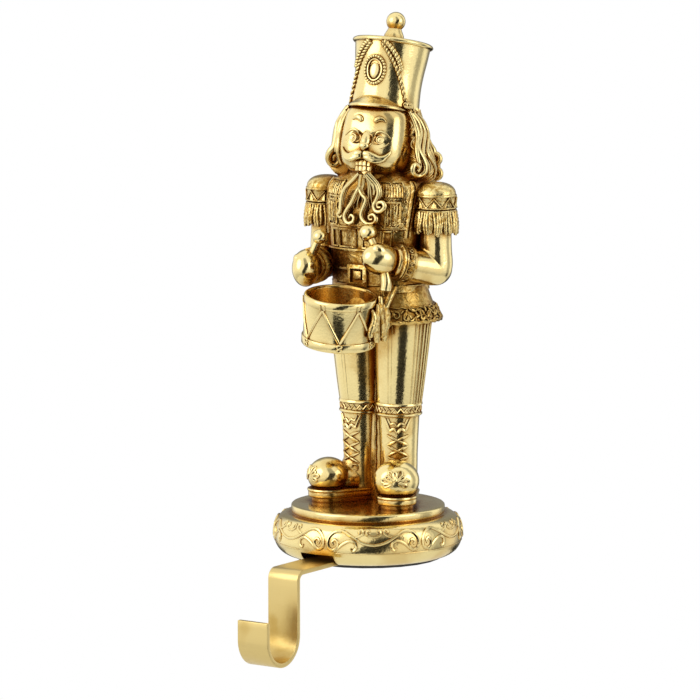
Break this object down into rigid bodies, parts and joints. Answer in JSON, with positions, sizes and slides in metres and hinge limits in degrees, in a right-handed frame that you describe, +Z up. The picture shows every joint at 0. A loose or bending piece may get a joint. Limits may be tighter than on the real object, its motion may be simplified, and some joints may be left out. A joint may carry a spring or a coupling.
{
  "type": "mantel stocking holder",
  "caption": "Gold drummer nutcracker figurine on a round scroll-carved base, with a flat strip that leaves the base and ends in an open J to hang a stocking from a mantel.",
  "frame": {"origin": "centre of the round underside, on the mantel", "axes": "+Z up along the base's axis, -Y the way the figure looks and the hook reaches, +X the figure's left"},
  "size_m": [0.0814, 0.1263, 0.2663],
  "materials": {
    "plated_casting": "polished antique gold plating, darker in the recesses",
    "plated_strip": "satin gold plating on a steel strip",
    "screw_steel": "plain zinc",
    "pad_rubber": "matt"
  },
  "bodies": {
    "root": {"cast_figure": "plated_casting", "hook_strip": "plated_strip", "hook_screws": "screw_steel", "base_pad": "pad_rubber"}
  },
  "joints": []
}
